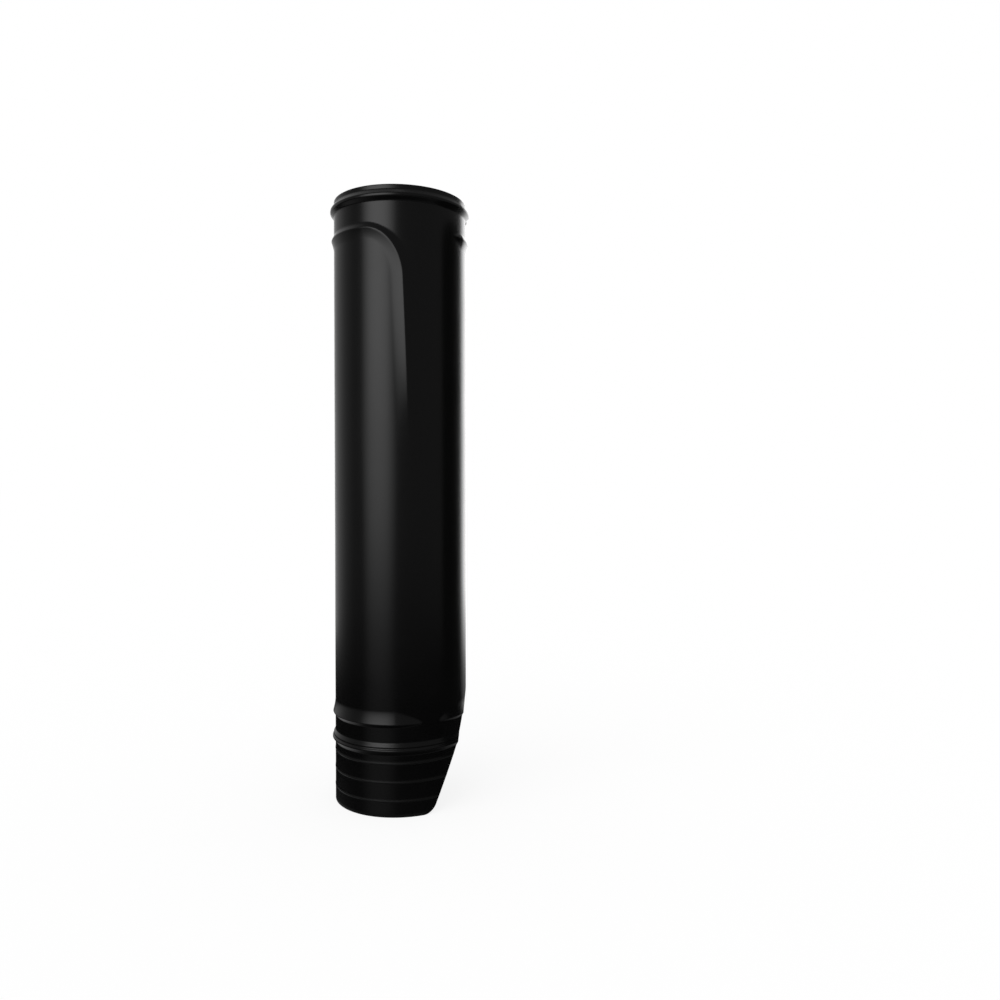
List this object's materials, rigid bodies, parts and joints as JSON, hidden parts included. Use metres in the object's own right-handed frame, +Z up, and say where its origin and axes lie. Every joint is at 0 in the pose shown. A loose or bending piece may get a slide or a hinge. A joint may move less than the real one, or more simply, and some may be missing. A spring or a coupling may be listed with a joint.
{
  "type": "shock absorber cover",
  "caption": "Slit plastic tube that wraps a motorcycle fork's shock absorber, with beads, strap bands, raised panels and a slanted lower end.",
  "frame": {"origin": "on the tube's axis, in the plane of the flat lower end that the cover stands on", "axes": "+Z up the tube's axis towards the end with the lip and the upper bead; -Y faces the large panel and +Y the lengthwise slit; +X completes a right-handed frame"},
  "size_m": [0.0654, 0.0651, 0.2805],
  "materials": {
    "black_plastic": "satin moulded black polypropylene"
  },
  "bodies": {
    "root": {"cover_shell": "black_plastic"}
  },
  "joints": []
}
